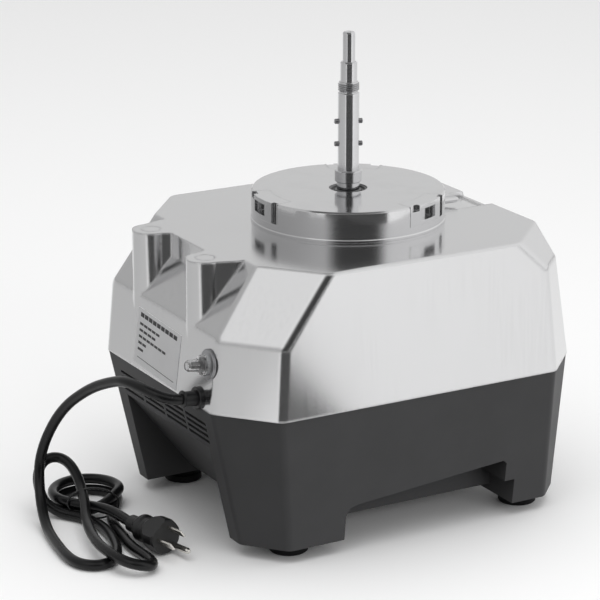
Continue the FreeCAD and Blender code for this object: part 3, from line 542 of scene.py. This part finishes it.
# ---------------------------------------------------------------- studio
# A plain white bench under an overhead soft box, a fill from the camera's side and a soft box
# high behind. The room is pale with one dark end, and that end and three cloths which only
# gloss finds give the polished metal its dark bands.
BENCH_HALF = 15
BENCH_DROP = 0.0002
bench_mesh = bmesh.new()
bmesh.ops.create_grid(bench_mesh, x_segments=1, y_segments=1, size=BENCH_HALF)
bench_white = bpy.data.materials.new("bench_white")
bench_white.use_nodes = True
bench_shader = bench_white.node_tree.nodes["Principled BSDF"]
bench_shader.inputs["Base Color"].default_value = (0.93, 0.93, 0.93, 1)
bench_shader.inputs["Roughness"].default_value = 0.8
bench_shader.inputs["Specular IOR Level"].default_value = 0.1
bench = new_piece("bench_top", bench_mesh, bench_white, smooth=False)
bench.location.z = -BENCH_DROP
bench.visible_diffuse = False


MACHINE_MIDDLE = Vector((0, 0, 0.15))


def soft_box(name, at, size, power, in_gloss):
    """Large even lamp aimed at the middle of the machine."""
    lamp_data = bpy.data.lights.new(name, "AREA")
    lamp_data.shape = "RECTANGLE"
    lamp_data.size = size[0]
    lamp_data.size_y = size[1]
    lamp_data.energy = power
    lamp = bpy.data.objects.new(name, lamp_data)
    lamp.location = at
    lamp.rotation_euler = (MACHINE_MIDDLE - Vector(at)).to_track_quat("-Z", "Y").to_euler()
    lamp.visible_glossy = in_gloss
    bpy.context.scene.collection.objects.link(lamp)


soft_box("overhead_soft_box", (-0.3, 0.3, 2.6), (2.6, 2.6), 27, False)
soft_box("camera_side_fill", (-2.5, -0.1, 0.9), (1.6, 1.2), 16, False)
soft_box("rear_high_soft_box", (-0.9, 2.0, 2.2), (1.8, 1.8), 3.6, True)

DARK_END = math.radians(160)
CLOTH_INNER = 0.42
CLOTH_OUTER = 3.5
CLOTH_LIFT = 0.0004
CLOTH_STEPS = 12


def hide_from_all_but_metal(cloth):
    """Keeps a cloth out of view and out of the soft light, so only gloss finds it."""
    cloth.visible_camera = False
    cloth.visible_diffuse = False
    cloth.visible_shadow = False


def bench_cloth(name, middle, half, tint):
    """Cloth laid on the bench that only gloss finds, as a sector round the machine."""
    cloth_mesh = bmesh.new()
    outer_edge = []
    inner_edge = []
    for step in range(CLOTH_STEPS + 1):
        angle = middle - half + 2 * half * step / CLOTH_STEPS
        for edge, reach in ((outer_edge, CLOTH_OUTER), (inner_edge, CLOTH_INNER)):
            edge.append((reach * math.cos(angle), reach * math.sin(angle), CLOTH_LIFT))
    cloth_mesh.faces.new([cloth_mesh.verts.new(spot) for spot in outer_edge + inner_edge[::-1]])
    hide_from_all_but_metal(new_piece(
        name, cloth_mesh, moulded(name + "_weave", tint, 0.9, 0.002, 0.0001), smooth=False))


bench_cloth("dark_end_cloth", DARK_END, math.radians(36), (0.05, 0.05, 0.05))
bench_cloth("grey_side_cloth", math.radians(70), math.radians(45), (0.6, 0.6, 0.6))

CEILING_HEIGHT = 2.3
CEILING_RADIUS = 1.1
ceiling_mesh = bmesh.new()
bmesh.ops.create_circle(ceiling_mesh, cap_ends=True, segments=48, radius=CEILING_RADIUS)
bmesh.ops.translate(ceiling_mesh, verts=ceiling_mesh.verts[:], vec=(0, 0, CEILING_HEIGHT))
hide_from_all_but_metal(new_piece("dark_ceiling_cloth", ceiling_mesh, moulded(
    "ceiling_weave", (0.85, 0.85, 0.85), 0.9, 0.002, 0.0001), smooth=False))

world = bpy.data.worlds.new("studio_room")
world.use_nodes = True
room_nodes, room_links = world.node_tree.nodes, world.node_tree.links
backdrop = room_nodes["Background"]
backdrop.inputs["Color"].default_value = (1, 1, 1, 1)
direction = room_nodes.new("ShaderNodeTexCoord")
direction.label = "direction in the room"
direction.location = (-1100, 0)
toward_dark = room_nodes.new("ShaderNodeVectorMath")
toward_dark.operation = "DOT_PRODUCT"
toward_dark.label = "how near the dark end"
toward_dark.location = (-860, 160)
toward_dark.inputs[1].default_value = (math.cos(DARK_END), math.sin(DARK_END), 0)
dark_end = room_nodes.new("ShaderNodeMapRange")
dark_end.label = "dark end"
dark_end.location = (-620, 160)
dark_end.interpolation_type = "SMOOTHSTEP"
dark_end.inputs["From Min"].default_value = 0.74
dark_end.inputs["From Max"].default_value = 0.9
toward_right = room_nodes.new("ShaderNodeVectorMath")
toward_right.operation = "DOT_PRODUCT"
toward_right.label = "how near the bright wall"
toward_right.location = (-860, -160)
toward_right.inputs[1].default_value = (-0.55, -0.83, 0.1)
wall = room_nodes.new("ShaderNodeMapRange")
wall.label = "wall brightness"
wall.location = (-620, -160)
wall.inputs["From Min"].default_value = -1
wall.inputs["To Min"].default_value = 0.46
wall.inputs["To Max"].default_value = 1.02
upright = room_nodes.new("ShaderNodeSeparateXYZ")
upright.label = "height in the room"
upright.location = (-860, -400)
lower_half = room_nodes.new("ShaderNodeMapRange")
lower_half.label = "dark below the bench"
lower_half.location = (-620, -400)
lower_half.inputs["From Min"].default_value = -0.02
lower_half.inputs["From Max"].default_value = 0.02
lower_half.inputs["To Min"].default_value = 0.12
lit = room_nodes.new("ShaderNodeMath")
lit.operation = "MULTIPLY"
lit.label = "walls above the bench"
lit.location = (-380, -240)
room_tone = room_nodes.new("ShaderNodeMix")
room_tone.label = "bright walls to dark end"
room_tone.location = (-160, 0)
room_tone.inputs["B"].default_value = 0.06
room_links.new(direction.outputs["Generated"], toward_dark.inputs[0])
room_links.new(direction.outputs["Generated"], toward_right.inputs[0])
room_links.new(direction.outputs["Generated"], upright.inputs["Vector"])
room_links.new(toward_dark.outputs["Value"], dark_end.inputs["Value"])
room_links.new(toward_right.outputs["Value"], wall.inputs["Value"])
room_links.new(upright.outputs["Z"], lower_half.inputs["Value"])
room_links.new(wall.outputs["Result"], lit.inputs[0])
room_links.new(lower_half.outputs["Result"], lit.inputs[1])
room_links.new(dark_end.outputs["Result"], room_tone.inputs["Factor"])
room_links.new(lit.outputs["Value"], room_tone.inputs["A"])
room_links.new(room_tone.outputs["Result"], backdrop.inputs["Strength"])
bpy.context.scene.world = world
bpy.context.scene.view_settings.view_transform = "Standard"
